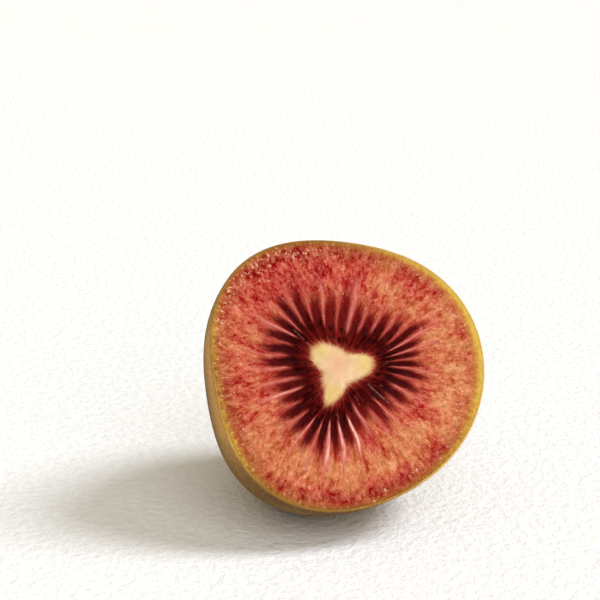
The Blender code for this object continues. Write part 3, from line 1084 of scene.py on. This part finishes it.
def paper_finish():
    """Dry papery sepals: tan, darker and browner in their folds, with fine veins."""
    finish = Finish("dry_papery_sepals")
    crumple = finish.noise(finish.object_place(), 700.0, 4.0, 0.65)
    fine = finish.noise(finish.object_place(), 2400.0, 3.0, 0.6)
    vein = finish.maths("SINE", finish.maths("MULTIPLY_ADD", finish.amount("across"), 14.0,
                                             finish.times(crumple, 6.0)))
    tone = finish.maths("MULTIPLY_ADD", fine, 0.4, crumple)
    tone = finish.maths("MULTIPLY_ADD", vein, 0.10, tone)
    paper = finish.ramp(finish.ease(tone, 0.45, 0.98), (0.0, 78, 48, 28), (0.4, 134, 96, 62),
                        (0.75, 178, 142, 102), (1.0, 206, 176, 138))
    finish.set(Base_Color=paper, Normal=finish.bump(tone, 0.00018, 0.8),
               Roughness=finish.ease(fine, 0.3, 0.7, 0.6, 0.82), Specular_IOR_Level=0.15)
    return finish.material


def style_finish():
    """Brittle dark brown styles with paler tips."""
    finish = Finish("brittle_brown_styles")
    grain = finish.noise(finish.object_place(), 1800.0, 3.0)
    brown = finish.blend(finish.ease(grain, 0.35, 0.7), paint(52, 30, 18), paint(112, 78, 48))
    finish.set(Base_Color=brown, Normal=finish.bump(grain, 0.00006, 0.6),
               Roughness=finish.ease(grain, 0.3, 0.7, 0.6, 0.8), Specular_IOR_Level=0.15)
    return finish.material


# Room

FLOOR_HALF_SIDE = 3.0
DAYLIGHT = (0.876, 0.921, 1.0)
ROOM_LIGHT = 0.45


def make_floor():
    """Plain pale floor far wider than the view."""
    side = FLOOR_HALF_SIDE
    mesh = bpy.data.meshes.new("pale_floor")
    corners = [(-side, -side, 0), (side, -side, 0), (side, side, 0), (-side, side, 0)]
    mesh.from_pydata(corners, [], [(0, 1, 2, 3)])
    finish = Finish("pale_plaster")
    grain = finish.noise(finish.object_place(), 620.0, 3.0, 0.65)
    plaster = finish.blend(finish.ease(grain, 0.3, 0.7), paint(247, 246, 244), paint(254, 254, 253))
    finish.set(Base_Color=plaster, Roughness=finish.ease(grain, 0.3, 0.7, 0.5, 0.7),
               Normal=finish.bump(grain, 0.0006, 0.8))
    mesh.materials.append(finish.material)
    floor = new_object("pale_floor", mesh)


def make_sun(name, azimuth, elevation, strength, softness):
    """Soft distant light from an azimuth, anticlockwise seen from above with 0 in front."""
    light = bpy.data.lights.new(name, "SUN")
    light.energy = strength
    light.angle = np.radians(softness)
    light.color = DAYLIGHT
    new_object(name, light).rotation_euler = (np.radians(90 - elevation), 0, np.radians(azimuth))


def make_room():
    """Warm white surroundings with a bright window to the right and a soft fill in front."""
    world = bpy.data.worlds.new("white_room")
    world.use_nodes = True
    background = world.node_tree.nodes["Background"]
    background.inputs["Color"].default_value = paint(255, 243, 218)
    background.inputs["Strength"].default_value = ROOM_LIGHT
    bpy.context.scene.world = world
    bpy.context.scene.view_settings.view_transform = "Standard"
    make_sun("window_to_the_right", azimuth=80, elevation=47, strength=2.42, softness=25)
    make_sun("fill_in_front", azimuth=4, elevation=35, strength=1.23, softness=50)


def make_camera():
    """Camera that shows SEEN_POINT of the cut face at SEEN_PIXEL of the photograph.

    The seen pixel's ray leans across and upward from the lens axis. Pitch and azimuth of
    the axis follow from the ray's elevation and azimuth, which are the named ones.
    """
    focal = LENS_MM / SENSOR_MM * FRAME_PIXELS
    across = (SEEN_PIXEL[0] - FRAME_PIXELS / 2) / focal
    upward = (FRAME_PIXELS / 2 - SEEN_PIXEL[1]) / focal
    length = np.sqrt(across ** 2 + upward ** 2 + 1)
    pitch = (np.arcsin(length * np.sin(CAMERA_ELEVATION) / np.hypot(upward, 1))
             + np.arctan(upward))
    turn = CAMERA_AZIMUTH + np.arctan2(across, upward * np.sin(pitch) + np.cos(pitch))
    seen = place(np.array([SEEN_POINT[0], SEEN_POINT[1], 0.0]))
    back = np.array([np.sin(CAMERA_AZIMUTH) * np.cos(CAMERA_ELEVATION),
                     -np.cos(CAMERA_AZIMUTH) * np.cos(CAMERA_ELEVATION),
                     np.sin(CAMERA_ELEVATION)])
    lens = bpy.data.cameras.new("camera")
    lens.lens = LENS_MM
    lens.sensor_width = SENSOR_MM
    lens.clip_start = 0.01
    camera = new_object("camera", lens)
    camera.location = seen + back * CAMERA_DISTANCE
    camera.rotation_euler = (np.pi / 2 - pitch, 0, turn)
    bpy.context.scene.camera = camera


make_camera()
make_room()
make_floor()

for make, finish, node, slot in ((make_flesh, flesh_finish, "fruit", "flesh"),
                                 (make_skin, skin_finish, "fruit", "skin"),
                                 (make_core, core_finish, "core", "core"),
                                 (make_seeds, seed_finish, None, "flesh"),
                                 (make_sepals, paper_finish, None, "skin"),
                                 (make_styles, style_finish, None, "skin")):
    piece = make()
    piece.data.materials.append(finish())
    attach(piece, "root")
    if node:
        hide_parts(node)
